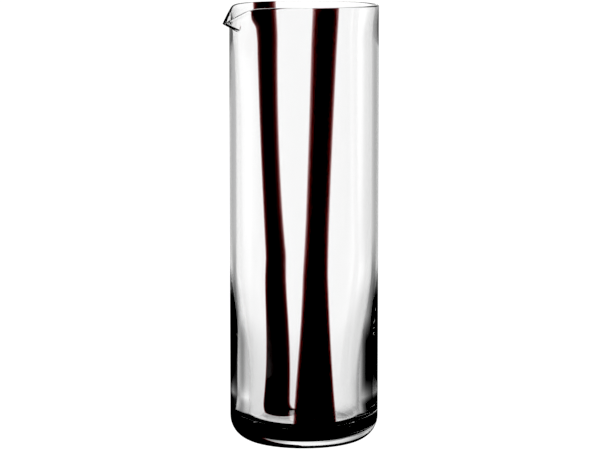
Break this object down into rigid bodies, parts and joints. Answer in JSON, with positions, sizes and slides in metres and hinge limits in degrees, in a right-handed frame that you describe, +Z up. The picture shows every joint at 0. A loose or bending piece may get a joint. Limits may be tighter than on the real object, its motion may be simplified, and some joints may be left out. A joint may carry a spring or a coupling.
{
  "type": "cocktail pitcher",
  "caption": "Tall clear glass cylinder with a heavy base, thick lower wall, pulled pouring lip and dark stripes cased in the wall; for stirring and pouring mixed drinks.",
  "frame": {"origin": "centre of the flat foot, on the surface that the pitcher stands on", "axes": "+Z up along the axis of the cylinder; -X towards the tip of the pouring lip"},
  "size_m": [0.0945, 0.088, 0.259],
  "materials": {
    "clear_glass": "clear and colourless, fire-polished",
    "dark_glass": "near black, deep red where it thins at its edges"
  },
  "bodies": {
    "root": {"outer_casing": "clear_glass", "inner_lining": "clear_glass", "front_stripe": "dark_glass", "back_stripe": "dark_glass"}
  },
  "joints": []
}
